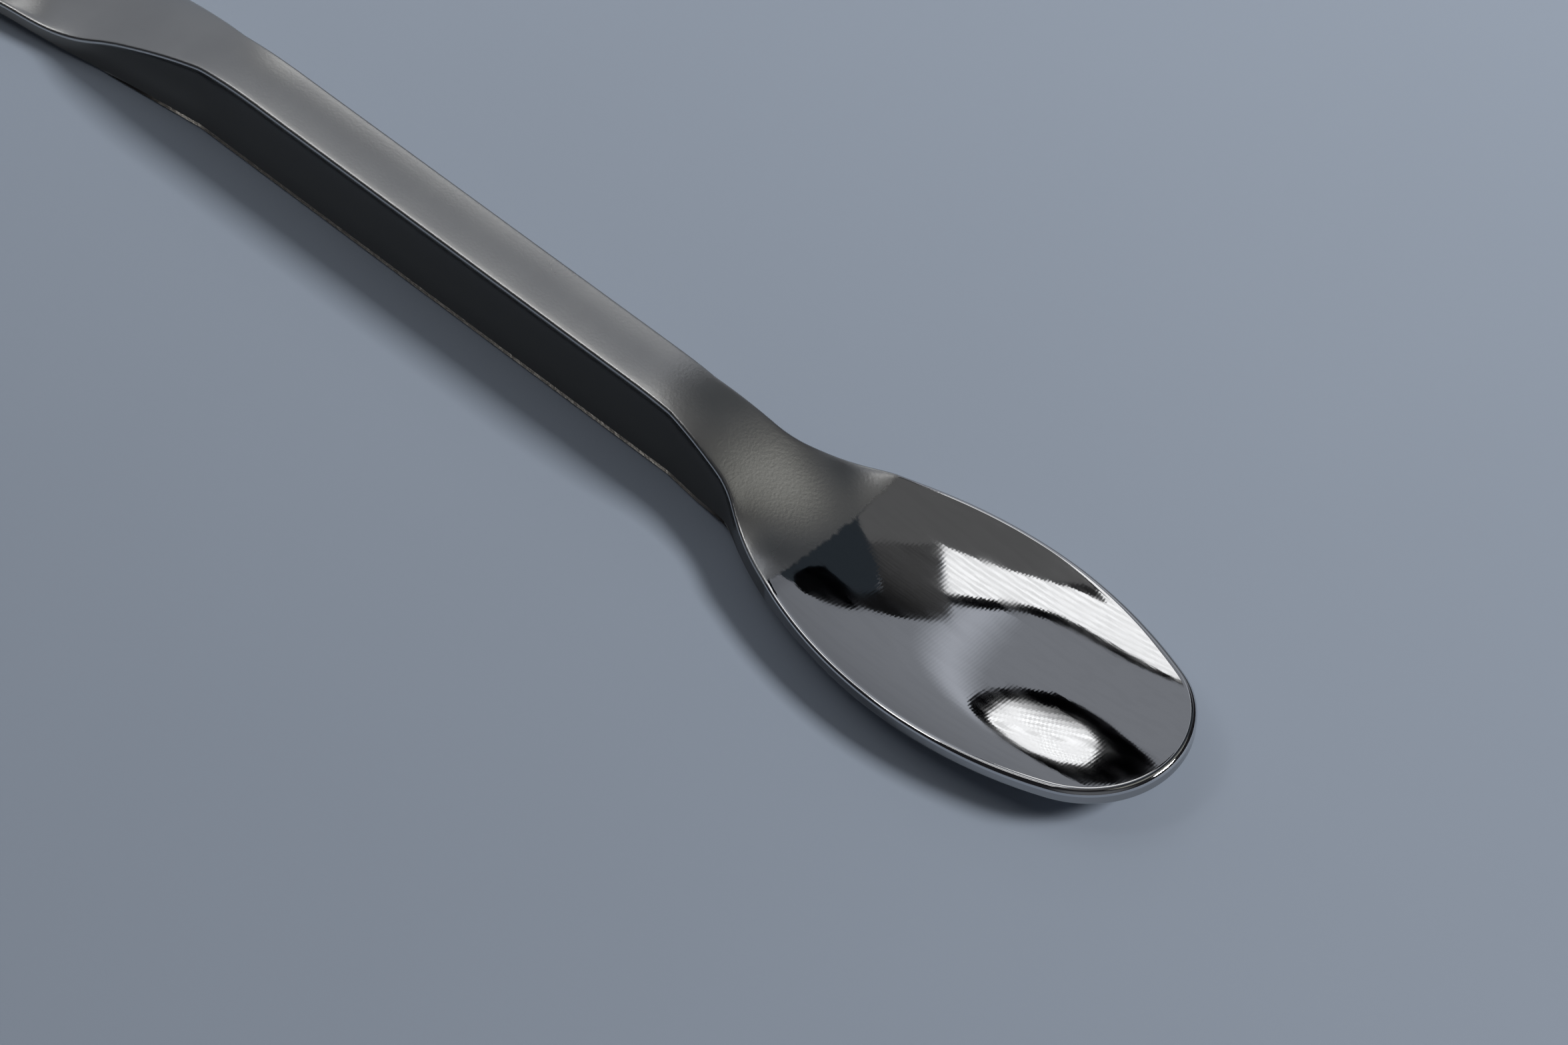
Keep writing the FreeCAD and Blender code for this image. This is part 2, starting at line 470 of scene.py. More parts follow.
    def upper_face(self, column: Column) -> list[Point]:
        """Goes over the upper face, from the middle line to the edge.

        Args:
            column: the place on the outline.

        Returns:
            The points, seen from above, each with its height.
        """
        spine, start = column.spine(), column.inset(self.support_depths[0], column.z)
        plans = [spine.lerp(start, n / self.face_rings) for n in range(self.face_rings)]
        plans += [column.inset(depth, column.z) for depth in self.support_depths]
        return [(plan, column.half.top(*plan)) for plan in plans]

    def wall_face(self, column: Column, top: float, base: float) -> list[Point]:
        """Goes down the outer face of the wall, between its two edges.

        Args:
            column: the place on the outline.
            top: the height at which the upper edge ends.
            base: the height at which the lower edge starts.

        Returns:
            The points, seen from above, each with its height.
        """
        lip = min(self.lip_height, (top - base) / 2)
        points = []
        for n in range(1, self.wall_rings + self.lip_rings):
            z = base + lip * (1 - (n - self.wall_rings) / self.lip_rings)
            if n < self.wall_rings:
                z = top + (base + lip - top) * n / self.wall_rings
            points.append((column.inset(self.hollow(column, z), z), z))
        return points

    def lower_face(self, column: Column) -> list[Point]:
        """Goes across the foot, up the wall's inner face and over the sheet's lower face.

        Args:
            column: the place on the outline.

        Returns:
            The points, seen from above, each with its height.
        """
        half, low, wall = column.half, self.lower_edge, column.half.section.wall
        points = []
        for n in range(1, self.foot_rings + 1):
            depth = low + (wall - low) * n / self.foot_rings
            plan = column.inset(depth, half.foot(column.x, column.y))
            points.append((plan, half.foot(*plan)))
        bottom = points[-1][1]
        roof = column.inset(wall, column.z)
        for n in range(1, self.inner_rings):
            z = bottom + (half.under(*roof) - bottom) * n / self.inner_rings
            points.append((column.inset(wall, z), z))
        for n in range(self.roof_rings + 1):
            plan = roof.lerp(column.spine(), n / self.roof_rings)
            points.append((plan, half.under(*plan)))
        return points

    def ring(self, column: Column) -> list[Vector]:
        """Goes once round the section of a column, from the middle line above to that below.

        Args:
            column: the place on the outline.

        Returns:
            The points in the frame of the whole part, in metres.
        """
        half, low, square = column.half, self.lower_edge, math.pi / 2
        radius = self.edge_radius(column.x)
        tilt = self.tilt(column, half.top, radius)
        plan = column.inset(radius * (1 + math.sin(tilt)), column.z)
        top = half.top(*plan) - radius * math.cos(tilt)
        rise = self.tilt(column, half.foot, low)
        plan = column.inset(low * (1 - math.sin(rise)), half.foot(column.x, column.y))
        base = half.foot(*plan) + low * math.cos(rise)
        points = (self.upper_face(column)
                  + self.rounding(column, radius, top, -tilt, square + tilt, self.edge_rings)
                  + self.wall_face(column, top, base)
                  + self.rounding(column, low, base, square, square - rise, self.lower_rings)
                  + self.lower_face(column))
        return [column.place(plan, z) for plan, z in points]

    def build(self, finish: SteelFinish) -> bpy.types.Object:
        """Makes the skin from one grid, whose points go to their places on the part.

        Args:
            finish: the steel that the piece is dressed in.

        Returns:
            The finished object.
        """
        rings = [self.ring(column) for column in self.columns()]
        around, across = len(rings) - 1, len(rings[0]) - 1
        mesh = bpy.data.meshes.new("retractor_skin")
        bm = bmesh.new()
        wall = bm.verts.layers.float.new(WALL)
        wall_from = self.face_rings + len(self.support_depths) + self.edge_rings
        bmesh.ops.create_grid(bm, x_segments=around, y_segments=across, size=1.0)
        for vert in bm.verts:
            column = round((vert.co.x + 1) / 2 * around)
            row = round((vert.co.y + 1) / 2 * across)
            vert.co = rings[column][row]
            # The rows from the wall down get 1, where the steel paints shade.
            vert[wall] = float(row >= wall_from)
        bmesh.ops.remove_doubles(bm, verts=bm.verts[:], dist=self.merge_gap)
        bmesh.ops.dissolve_degenerate(bm, edges=bm.edges[:], dist=self.thin_edge)
        bmesh.ops.recalc_face_normals(bm, faces=bm.faces[:])
        for face in bm.faces:
            face.smooth = True
        for edge in bm.edges:
            edge.smooth = edge.calc_face_angle(0.0) < math.radians(self.sharp_angle)
        bm.to_mesh(mesh)
        bm.free()
        skin = bpy.data.objects.new("retractor_skin", mesh)
        bpy.context.collection.objects.link(skin)
        mesh.materials.append(finish.material())
        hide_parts("retractor")
        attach(skin, "root")
        return skin


@dataclass(frozen=True)
class Grain:
    """A cloudy noise, by its scale per metre, its stretch, its detail and its turn about Z."""

    scale: float
    stretch: Triple = (1.0, 1.0, 1.0)
    detail: float = 3.0
    turn: float = 0.0


@dataclass(frozen=True)
class Wave:
    """Regular waves, by their scale and by how far, how fine and how often they wander."""

    scale: float
    distortion: float
    detail: float
    detail_scale: float


class Nodes:
    """Short ways to add and join the nodes of a material or of the room."""

    def __init__(self, owner: bpy.types.Material | bpy.types.World,
                 shader: str = "Principled BSDF", coords: str = "Object") -> None:
        """Starts the nodes with the shader that is there.

        Args:
            owner: the material or the world.
            shader: the name of its shader.
            coords: the coordinates that its patterns read.
        """
        owner.use_nodes = True
        self.tree = owner.node_tree
        self.shader = self.tree.nodes[shader]
        self.coords = self.tree.nodes.new("ShaderNodeTexCoord").outputs[coords]

    def add(self, kind: str, **settings: object) -> bpy.types.Node:
        """Adds a node and sets its properties.

        Args:
            kind: the type of the node.
            **settings: its properties, by name.

        Returns:
            The node.
        """
        node = self.tree.nodes.new(kind)
        for name, value in settings.items():
            setattr(node, name, value)
        return node

    def join(self, source: Socket, target: Socket) -> None:
        """Joins two sockets."""
        self.tree.links.new(source, target)

    def value(self, socket: Socket, source: Source | tuple[float, ...]) -> None:
        """Sets a socket to a number or a colour, or joins it to another socket.

        Args:
            socket: the socket to set.
            source: the number, the colour or the other socket.
        """
        if isinstance(source, bpy.types.NodeSocket):
            self.join(source, socket)
        else:
            socket.default_value = source

    def maths(self, operation: str, first: Source, second: Source,
              clamp: bool = False) -> Socket:
        """Works out one sum.

        Args:
            operation: what to work out.
            first: the first number.
            second: the second number.
            clamp: whether the result is kept between 0 and 1.

        Returns:
            The result.
        """
        node = self.add("ShaderNodeMath", operation=operation, use_clamp=clamp)
        self.value(node.inputs[0], first)
        self.value(node.inputs[1], second)
        return node.outputs[0]

    def ramped(self, source: Source, low: float, high: float, start: float = 0.0,
               stop: float = 1.0) -> Socket:
        """Maps a value smoothly from one range to another.

        Args:
            source: the value.
            low: where its range starts.
            high: where its range ends.
            start: the result at the low end.
            stop: the result at the high end.

        Returns:
            The mapped value.
        """
        node = self.add("ShaderNodeMapRange", interpolation_type="SMOOTHSTEP")
        for socket, number in zip(node.inputs[:5], (source, low, high, start, stop)):
            self.value(socket, number)
        return node.outputs[0]

    def mapped(self, place: Socket, **numbers: Triple) -> Socket:
        """Moves, turns or stretches coordinates.

        Args:
            place: the coordinates.
            **numbers: Location, Rotation or Scale, as the sockets are named.

        Returns:
            The new coordinates.
        """
        node = self.add("ShaderNodeMapping")
        for name, number in numbers.items():
            node.inputs[name].default_value = number
        self.join(place, node.inputs["Vector"])
        return node.outputs[0]

    def along(self, place: Socket, direction: Triple) -> Socket:
        """How far each place lies along a direction.

        Args:
            place: the coordinates.
            direction: the direction.

        Returns:
            The distance.
        """
        node = self.add("ShaderNodeVectorMath", operation="DOT_PRODUCT")
        node.inputs[1].default_value = direction
        self.join(place, node.inputs[0])
        return node.outputs["Value"]

    def noise(self, grain: Grain) -> Socket:
        """Adds a cloudy noise.

        Args:
            grain: what the noise is like.

        Returns:
            The noise, about 0 to 1.
        """
        place = self.mapped(self.coords, Scale=grain.stretch, Rotation=(0.0, 0.0, grain.turn))
        node = self.add("ShaderNodeTexNoise")
        node.inputs["Scale"].default_value = grain.scale
        node.inputs["Detail"].default_value = grain.detail
        self.join(place, node.inputs["Vector"])
        return node.outputs["Fac"]

    def waves(self, place: Socket, wave: Wave, **settings: str) -> Socket:
        """Adds regular waves.

        Args:
            place: the coordinates.
            wave: what the waves are like.
            **settings: their kind and direction, as the node's properties are named.

        Returns:
            The waves, 0 to 1.
        """
        node = self.add("ShaderNodeTexWave", **settings)
        for name, number in (("Scale", wave.scale), ("Distortion", wave.distortion),
                             ("Detail", wave.detail), ("Detail Scale", wave.detail_scale)):
            node.inputs[name].default_value = number
        self.join(place, node.inputs["Vector"])
        return node.outputs["Fac"]

    def mixed(self, share: Source, first: Source, second: Source) -> Socket:
        """Mixes two numbers by a share.

        Args:
            share: how much of the second goes in.
            first: the number at share 0.
            second: the number at share 1.

        Returns:
            The mixed number.
        """
        node = self.add("ShaderNodeMix", data_type="FLOAT")
        for socket, source in zip((node.inputs[0], *node.inputs[2:4]), (share, first, second)):
            self.value(socket, source)
        return node.outputs[0]

    def tinted(self, share: Source, first: Socket | Colour, second: Socket | Colour) -> Socket:
        """Mixes two colours, or sockets that give them, by a share.

        Args:
            share: how much of the second goes in.
            first: the colour at share 0.
            second: the colour at share 1.

        Returns:
            The mixed colour.
        """
        node = self.add("ShaderNodeMix", data_type="RGBA")
        self.value(node.inputs[0], share)
        for socket, source in zip(node.inputs[6:8], (first, second)):
            self.value(socket, (*source, 1.0) if isinstance(source, tuple) else source)
        return node.outputs[2]

    def bump(self, height: Socket, strength: Source, distance: float,
             below: Socket | None = None) -> Socket:
        """Adds a bump, over another one where there is one.

        Args:
            height: the height, from 0 to 1.
            strength: how strongly it shows.
            distance: how much a height of 1 is.
            below: the other bump.

        Returns:
            The direction of the bumped surface.
        """
        node = self.add("ShaderNodeBump")
        self.value(node.inputs["Strength"], strength)
        node.inputs["Distance"].default_value = distance
        self.value(node.inputs["Height"], height)
        if below is not None:
            self.join(below, node.inputs["Normal"])
        return node.outputs[0]


@dataclass(frozen=True)
class SteelFinish:
    """Bead-blasted steel that turns along a ragged line into mirror polish near each blade.

    The lines are places along X. A swell and fine ripples lie in the polish, and a grain lies in
    the blasted steel. The walls and the lower side are painted darker, which is painted shade, and
    are a little smoother.
    """

    blasted: Colour = (0.57, 0.57, 0.56)
    blasted_dark: Colour = (0.52, 0.52, 0.515)
    cloud_range: Span = (0.3, 0.7)
    polished: Colour = (0.62, 0.625, 0.635)
    streak: float = 0.975
    streak_range: Span = (0.45, 0.62)
    # Painted shade: the walls and the lower side, blasted or polished, are coloured darker than the
    # steel itself.
    wall: Colour = (0.20, 0.19, 0.175)
    polished_wall_painted_shade: Colour = (0.42, 0.42, 0.42)
    blasted_roughness: float = 0.26
    cloud_roughness: float = 0.04
    wall_roughness: float = 0.19
    polished_roughness: Span = (0.03, 0.08)
    haze_range: Span = (0.35, 0.75)
    broad_line: float = 0.0573
    slim_line: float = -0.0668
    raggedness: float = 0.0005
    fade: float = 0.0003
    grain: float = 0.16
    grain_depth: float = 0.00006
    swell: float = 0.010
    swell_depth: float = 0.0002
    ripple_depth: float = 0.22e-6
    line_noise: Grain = Grain(900.0, (1.0, 1.6, 1.0), 4.0)
    cloud_noise: Grain = Grain(90.0)
    grain_noise: Grain = Grain(3000.0, detail=1.0)
    streak_noise: Grain = Grain(1500.0, (0.12, 1.0, 1.0), 2.0, turn=0.35)
    haze_noise: Grain = Grain(160.0, (1.0, 3.0, 1.0), 4.0)
    swell_noise: Grain = Grain(420.0, (1.0, 5.0, 1.0), 3.0, turn=0.35)
    ripples: Wave = Wave(760.0, 3.0, 1.0, 0.4)

    def polish_share(self, n: Nodes) -> Socket:
        """How far each place is polished.

        Args:
            n: the nodes of the steel.

        Returns:
            The share, from 0 on the grip to 1 on the blades.
        """
        axes = n.add("ShaderNodeSeparateXYZ")
        n.join(n.coords, axes.inputs[0])
        wander = n.maths("MULTIPLY", n.maths("SUBTRACT", n.noise(self.line_noise), 0.5),
                         self.raggedness * 2)
        x = n.maths("ADD", axes.outputs["X"], wander)
        broad = n.ramped(x, self.broad_line - self.fade, self.broad_line + self.fade)
        slim = n.ramped(x, self.slim_line + self.fade, self.slim_line - self.fade)
        return n.maths("MAXIMUM", broad, slim)

    def colour(self, n: Nodes, share: Socket, wall: Socket, clouds: Socket) -> Socket:
        """The colour of the steel, with painted shade on the walls and the lower side.

        Args:
            n: the nodes of the steel.
            share: how far each place is polished.
            wall: 1 on the walls and the lower side, which get painted shade, 0 on the upper face.
            clouds: the clouds.

        Returns:
            The colour.
        """
        blasted = n.tinted(n.ramped(clouds, *self.cloud_range), self.blasted_dark, self.blasted)
        streaks = n.ramped(n.noise(self.streak_noise), *self.streak_range)
        dull = tuple(channel * self.streak for channel in self.polished)
        polished = n.tinted(streaks, self.polished, dull)
        return n.tinted(share, n.tinted(wall, blasted, self.wall),
                        n.tinted(wall, polished, self.polished_wall_painted_shade))

    def roughness(self, n: Nodes, share: Socket, wall: Socket, clouds: Socket) -> Socket:
        """The roughness of the steel.

        Args:
            n: the nodes of the steel.
            share: how far each place is polished.
            wall: 1 on the walls and the lower side, 0 on the upper face.
            clouds: the clouds.

        Returns:
            The roughness.
        """
        fine = n.ramped(n.noise(self.haze_noise), *self.haze_range, *self.polished_roughness)
        matt = n.maths("ADD", n.maths("MULTIPLY", clouds, self.cloud_roughness),
                       self.blasted_roughness)
        return n.mixed(share, n.mixed(wall, matt, self.wall_roughness), fine)

    def relief(self, n: Nodes, share: Socket) -> Socket:
        """The grain of the blasting, over the ripples and the swell of the polish.

        Args:
            n: the nodes of the steel.
            share: how far each place is polished.

        Returns:
            The direction of the surface.
        """
        swell = n.bump(n.noise(self.swell_noise), n.maths("MULTIPLY", share, self.swell),
                       self.swell_depth)
        ripples = n.waves(n.coords, self.ripples, bands_direction="X")
        polish = n.bump(ripples, share, self.ripple_depth, swell)
        blasted = n.maths("MULTIPLY", n.maths("SUBTRACT", 1.0, share), self.grain)
        return n.bump(n.noise(self.grain_noise), blasted, self.grain_depth, polish)

    def material(self) -> bpy.types.Material:
        """Makes the steel.

        Returns:
            The material.
        """
        steel = bpy.data.materials.new("steel")
        n = Nodes(steel)
        share = self.polish_share(n)
        clouds = n.noise(self.cloud_noise)
        # The mask of the walls and the lower side, which carries the painted shade.
        wall = n.add("ShaderNodeAttribute", attribute_name=WALL).outputs["Fac"]
        n.shader.inputs["Metallic"].default_value = 1.0
        n.join(self.colour(n, share, wall, clouds), n.shader.inputs["Base Color"])
        n.join(self.roughness(n, share, wall, clouds), n.shader.inputs["Roughness"])
        n.join(self.relief(n, share), n.shader.inputs["Normal"])
        return steel


@dataclass(frozen=True)
class TableFinish:
    """The plain matt sheet that the part lies on, with painted shade: darker towards the front,
    where the light falls off.
    """

    colour: Colour = (0.53, 0.61, 0.73)
    # Painted shade: the sheet's colour at the front, darker where the light falls off.
    near: Colour = (0.34, 0.39, 0.47)
    roughness: float = 0.75
    gloss: float = 0.2
    sink: float = 0.00002
    back: Triple = (-0.69, 0.72, 0.0)
    painted_light_range: Span = (-0.11, 0.19)
    mottle: float = 0.12
    mottle_noise: Grain = Grain(14.0)

    def material(self) -> bpy.types.Material:
        """Makes the sheet's material, with a faint mottle and painted shade towards the front.

        Returns:
            The material.
        """
        sheet = bpy.data.materials.new("table")
        n = Nodes(sheet)
        # Painted light fall-off: the colour turns from the front's darker one to the sheet's own
        # towards the back.
        painted_light_share = n.ramped(n.along(n.coords, self.back), *self.painted_light_range)
        mottle = n.maths("MULTIPLY", n.noise(self.mottle_noise), self.mottle)
        share = n.maths("ADD", mottle, painted_light_share, clamp=True)
        n.join(n.tinted(share, self.near, self.colour), n.shader.inputs["Base Color"])
        n.shader.inputs["Roughness"].default_value = self.roughness
        n.shader.inputs["Specular IOR Level"].default_value = self.gloss
        return sheet


@dataclass(frozen=True)
class Lamp:
    """One soft lamp, by the direction in which the middle of the stage sees it.

    Its direction and its size are counted for each metre of its height.
    """

    name: str
    direction: Span
    size: Span
    radiance: float
    height: float = 0.8

    def build(self) -> None:
        """Hangs the lamp, flat under the ceiling, facing down."""
        data = bpy.data.lights.new(self.name, "AREA")
        data.shape = "RECTANGLE"
        data.size = self.size[0] * self.height
        data.size_y = self.size[1] * self.height
        data.energy = self.radiance * (data.size * data.size_y) * math.pi
        lamp = bpy.data.objects.new(self.name, data)
        lamp.location = hung(self.direction, self.height)
        bpy.context.collection.objects.link(lamp)


@dataclass(frozen=True)
class Arc:
    """A soft bright arc across a glowing card, by the directions in which it is seen."""

    centre: Span
    radius: float
    width: float
    gain: float


@dataclass(frozen=True)
class Card:
    """One flat card under the ceiling, dark or glowing, that the polished steel mirrors.

    Its corners are the directions in which the middle of the stage sees them, counted for each
    metre of its height.

    Attributes:
        stretch: how much closer together round ribs come along X.
        fade: the direction in which the glow fades.
        faded: how much of the glow is left at the end of the fade.
        sharp: the turn, in degrees, from which a corner stays sharp.
        steps: how many short lines stand for one curved side.
    """

    name: str
    corners: tuple[Span, ...]
    shade: float = 0.004
    shade_blue: float = 1.3
    glow: float = 0.0
    ribs: Ribs = Ribs.NONE
    rib_scale: float = 10.0
    rib_shade: float = 0.28
    rib_distortion: float = 1.5
    rib_detail: float = 2.0
    stretch: float = 1.0
    fade: Span = (0.0, 0.0)
    fade_range: Span = (0.22, 0.50)
    faded: float = 0.10
    arc: Arc | None = None
    tint: Colour = (1.0, 1.0, 1.0)
    height: float = 1.60
    sharp: float = 48.0
    steps: int = 6

    def outline(self) -> list[Vector]:
        """The corners, with curved sides where the outline turns little.

        Returns:
            The points of the curved outline.
        """
        corners = [Vector(corner) for corner in self.corners]
        count = len(corners)
        points = []
        for n, start in enumerate(corners):
            before, stop, after = corners[n - 1], corners[(n + 1) % count], corners[(n + 2) % count]
            side = stop - start
            leave = enter = side
            if (start - before).angle(side) < math.radians(self.sharp):
                leave = (stop - before).normalized() * side.length
            if side.angle(after - stop) < math.radians(self.sharp):
                enter = (after - start).normalized() * side.length
            for step in range(self.steps):
                t = step / self.steps
                points.append(start.lerp(stop, eased(t)) + leave * (t * (1 - t) ** 2)
                              - enter * (t * t * (1 - t)))
        return points

    def build(self) -> None:
        """Cuts the card and hangs it, as a stage piece."""
        mesh = bpy.data.meshes.new(self.name)
        bm = bmesh.new()
        bm.faces.new([bm.verts.new(hung(corner, self.height)) for corner in self.outline()])
        bm.normal_update()
        bmesh.ops.triangulate(bm, faces=bm.faces[:])
        bm.to_mesh(mesh)
        bm.free()
        card = bpy.data.objects.new(self.name, mesh)
        bpy.context.collection.objects.link(card)
        mesh.materials.append(self.paint())

    def seen_from(self, n: Nodes, centre: Span) -> Socket:
        """The direction of each place of the card, counted from a centre.

        Args:
            n: the nodes of the card's paint.
            centre: the direction that counts as the middle.

        Returns:
            The direction, flat.
        """
        return n.mapped(n.coords, Scale=(1 / self.height,) * 3, Location=(
            -STAGE_MIDDLE[0] / self.height - centre[0],
            -STAGE_MIDDLE[1] / self.height - centre[1], -1.0))

    def ribbed(self, n: Nodes) -> Socket:
        """The glow, shaded by ribs and fading towards one end.

        Args:
            n: the nodes of the card's paint.

        Returns:
            The strength of the glow.
        """
        count = len(self.corners)
        place = self.seen_from(n, (sum(x for x, _ in self.corners) / count,
                                   sum(y for _, y in self.corners) / count))
        ribs = n.waves(n.mapped(place, Scale=(self.stretch, 1.0, 1.0)),
                       Wave(self.rib_scale, self.rib_distortion, self.rib_detail, self.rib_detail),
                       wave_type=self.ribs.value, bands_direction="Y", rings_direction="Z")
        glow = n.ramped(ribs, 0.0, 1.0, self.glow, self.glow * (1 - self.rib_shade))
        along = n.along(place, (*self.fade, 0.0))
        return n.maths("MULTIPLY", glow, n.ramped(along, *self.fade_range, 1.0, self.faded))

    def arched(self, n: Nodes, arc: Arc) -> Socket:
        """The glow with a soft bright arc in it.

        Args:
            n: the nodes of the card's paint.
            arc: where the arc lies.

        Returns:
            The strength of the glow.
        """
        reach = n.add("ShaderNodeVectorMath", operation="LENGTH")
        n.join(self.seen_from(n, arc.centre), reach.inputs[0])
        away = n.maths("ABSOLUTE", n.maths("SUBTRACT", reach.outputs["Value"], arc.radius), 0.0)
        return n.ramped(away, 0.0, arc.width, self.glow * arc.gain, self.glow)

    def paint(self) -> bpy.types.Material:
        """Makes the card's matt, dark or glowing paint.

        Returns:
            The material.
        """
        paint = bpy.data.materials.new(self.name)
        n = Nodes(paint)
        grey, blue = self.shade, self.shade * self.shade_blue
        for name, value in (("Base Color", (grey, grey, blue, 1.0)),
                            ("Roughness", 1.0), ("Specular IOR Level", 0.0),
                            ("Emission Color", (*self.tint, 1.0)),
                            ("Emission Strength", self.glow)):
            n.shader.inputs[name].default_value = value
        if self.ribs is not Ribs.NONE:
            n.join(self.ribbed(n), n.shader.inputs["Emission Strength"])
        if self.arc is not None:
            n.join(self.arched(n, self.arc), n.shader.inputs["Emission Strength"])
        return paint


@dataclass(frozen=True)
class RoomSide:
    """A pale side of the dark room, by its direction and by how near to that it fades in."""

    direction: Triple
    fade: Span
    colour: Colour


@dataclass
class Studio:
    """The table, the lamps, the cards and the room around them."""

    table: TableFinish = field(default_factory=TableFinish)
    table_half: float = 1.5
    room_dark: Colour = (0.014, 0.014, 0.016)
    room_sides: tuple[RoomSide, ...] = (
        RoomSide((-0.72, 0.40, 0.57), (0.55, 0.95), ROOM_PALE),
        RoomSide((0.62, -0.60, 0.50), (0.72, 0.98), (0.125, 0.13, 0.14)),
    )
    lamps: tuple[Lamp, ...] = (
        Lamp("key", (1.15, 0.70), (0.50, 0.45), 50.0),
    )
    cards: tuple[Card, ...] = (
        Card("window", (
            (-0.365, 0.164), (-0.458, 0.400), (-0.505, 0.275), (-0.570, 0.165), (-0.651, 0.132),
            (-0.758, 0.140), (-0.878, 0.158), (-1.000, 0.168), (-1.000, -0.240), (-0.250, -0.240),
            (-0.275, -0.062), (-0.356, -0.134), (-0.453, -0.163), (-0.547, -0.163),
            (-0.623, -0.113), (-0.662, -0.058), (-0.579, -0.027), (-0.504, 0.039),
            (-0.424, 0.116)),
            glow=1.55, ribs=Ribs.STRAIGHT),
        Card("low_window", (
            (-0.60, -0.25), (-0.60, -0.52), (-0.43, -0.52), (-0.41, -0.25)), glow=4.0),
        Card("round", (
            (-1.121, 1.455), (-0.962, 1.142), (-0.880, 0.883), (-0.922, 0.793), (-1.028, 0.840),
            (-1.183, 1.020), (-1.445, 1.481), (-1.485, 1.684), (-1.397, 1.735)),
            glow=1.8, ribs=Ribs.ROUND, rib_scale=2.2, rib_shade=0.45, stretch=3.3,
            fade=(0.53, -0.85)),
        Card("round_surround", (
            (-0.990, 1.334), (-0.868, 1.060), (-0.812, 0.793), (-0.843, 0.653), (-0.969, 0.677),
            (-1.152, 0.809), (-1.337, 0.967), (-1.471, 1.173), (-1.620, 1.482), (-1.755, 1.815),
            (-1.878, 2.105), (-1.667, 1.997), (-1.434, 1.832), (-1.153, 1.556)), height=1.62),
        Card("wedge", (
            (-0.050, 0.300), (-0.136, 0.346), (-0.313, 0.417), (-0.376, 0.537), (-0.436, 0.686),
            (-0.500, 1.000), (-0.510, 1.200), (-0.220, 1.200), (-0.050, 1.100)), glow=0.033,
            tint=(0.75, 0.95, 1.15)),
        Card("patch", (
            (-0.290, 1.060), (-0.270, 0.880), (-0.360, 0.792), (-0.450, 0.840), (-0.510, 0.930),
            (-0.535, 1.120), (-0.520, 1.260), (-0.420, 1.190)), height=1.58),
        Card("gap", (
            (-0.313, 0.417), (-0.345, 0.240), (-0.365, 0.164), (-0.409, 0.293), (-0.458, 0.400),
            (-0.492, 0.446), (-0.530, 0.560), (-0.530, 0.726), (-0.520, 0.856), (-0.500, 1.000),
            (-0.467, 1.000), (-0.436, 0.686), (-0.376, 0.537)),
            glow=0.075, ribs=Ribs.STRAIGHT, rib_scale=14.0, fade=(0.0, 1.0),
            fade_range=(-0.20, 0.20)),
        Card("upper_wall", (
            (-0.050, -0.100), (-0.275, -0.200), (-0.450, -0.220), (-0.600, -0.200),
            (-0.700, -0.060), (-0.550, 0.060), (-0.365, 0.200), (-0.345, 0.240),
            (-0.313, 0.417), (-0.136, 0.346), (-0.050, 0.300)), glow=0.115, height=1.63),
        Card("ramp_wall", ((0.17, 0.00), (0.55, 0.00), (0.60, 1.00), (0.17, 1.00)), glow=0.27,
             tint=(1.0, 1.0, 0.9)),
        Card("halo", (
            (-0.384, 0.321), (-0.555, 0.879), (-0.856, 1.380), (-1.269, 1.792), (-1.392, 1.635),
            (-1.013, 1.256), (-0.738, 0.798), (-0.581, 0.286)), glow=1.0, tint=ROOM_PALE,
            arc=Arc((-2.743, -0.095), 2.270, 0.09, 2.0), height=1.65),
        Card("window_sill", (
            (-0.458, 0.400), (-0.505, 0.275), (-0.570, 0.165), (-0.651, 0.132), (-0.758, 0.140),
            (-0.878, 0.158), (-1.000, 0.168), (-1.000, 0.192), (-0.929, 0.188), (-0.817, 0.192),
            (-0.670, 0.178), (-0.575, 0.222), (-0.525, 0.340), (-0.492, 0.446))),
        Card("window_bar", (
            (-0.545, -0.008), (-0.579, -0.027), (-0.640, -0.050), (-0.630, -0.105),
            (-0.600, -0.080)),
            glow=0.02, height=1.61),
    )

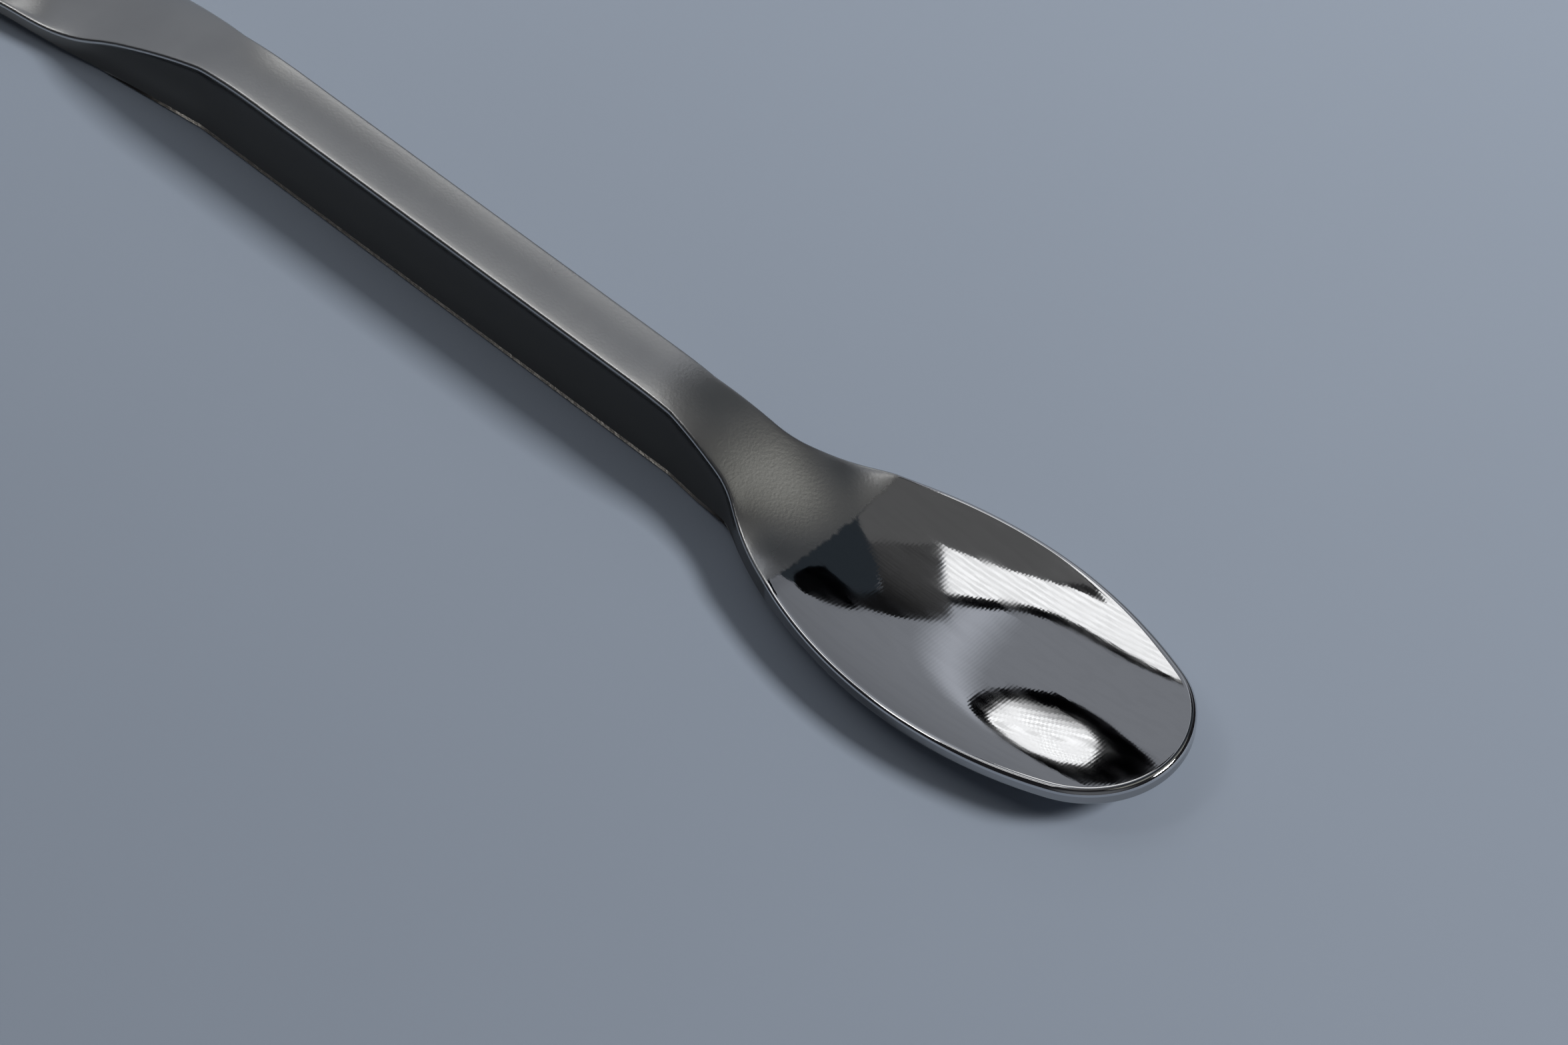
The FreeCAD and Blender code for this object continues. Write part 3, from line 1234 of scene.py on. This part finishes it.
    def lay_table(self) -> None:
        """Lays the sheet under the part, as a stage piece."""
        mesh = bpy.data.meshes.new("table")
        bm = bmesh.new()
        bmesh.ops.create_grid(bm, x_segments=1, y_segments=1, size=self.table_half)
        bm.to_mesh(mesh)
        bm.free()
        mesh.materials.append(self.table.material())
        table = bpy.data.objects.new("table", mesh)
        table.location.z = -self.table.sink
        bpy.context.collection.objects.link(table)

    def light_room(self) -> None:
        """Makes the room dark, with its pale sides one over the other."""
        world = bpy.data.worlds.new("room")
        n = Nodes(world, "Background", "Generated")
        colour: Socket | Colour = self.room_dark
        for side in reversed(self.room_sides):
            share = n.ramped(n.along(n.coords, side.direction), *side.fade)
            colour = n.tinted(share, colour, side.colour)
        n.join(colour, n.shader.inputs["Color"])
        bpy.context.scene.world = world

    def build(self) -> None:
        """Lays the table, hangs the lamps and the cards, and lights the room."""
        self.lay_table()
        for piece in (*self.lamps, *self.cards):
            piece.build()
            LOG.info("%s: hung", piece.name)
        self.light_room()


@dataclass(frozen=True)
class Camera:
    """The camera that looks down on the part from the front left, with angles in degrees."""

    place: Triple = (0.36457, -0.32623, 0.53968)
    elevation: float = 50.0
    heading: float = 43.95
    lens: float = 153.06
    sensor: float = 36.0
    nearest: float = 0.01

    def build(self) -> None:
        """Sets up the camera and makes it the scene's own."""
        up, turn = math.radians(self.elevation), math.radians(self.heading)
        across = Vector((math.cos(turn), math.sin(turn), 0.0))
        ahead = Vector((-math.sin(turn), math.cos(turn), 0.0))
        view = ahead * math.cos(up) - Vector((0.0, 0.0, math.sin(up)))
        top = across.cross(view)
        data = bpy.data.cameras.new("camera")
        data.lens = self.lens
        data.sensor_width = self.sensor
        data.clip_start = self.nearest
        camera = bpy.data.objects.new("camera", data)
        axes = Matrix((across, top, -view)).transposed().to_4x4()
        camera.matrix_world = Matrix.Translation(Vector(self.place)) @ axes
        bpy.context.collection.objects.link(camera)
        bpy.context.scene.camera = camera


def main() -> None:
    """Builds the camera, the studio and the retractor, in that order, and reports each."""
    logging.basicConfig(level=logging.INFO, format="%(name)s: %(message)s")
    bpy.context.scene.view_settings.view_transform = "Standard"
    Camera().build()
    LOG.info("camera: set up")
    Studio().build()
    skin = Retractor().build(SteelFinish())
    LOG.info("%s: %d faces", skin.name, len(skin.data.polygons))


if __name__ == "__main__":
    main()
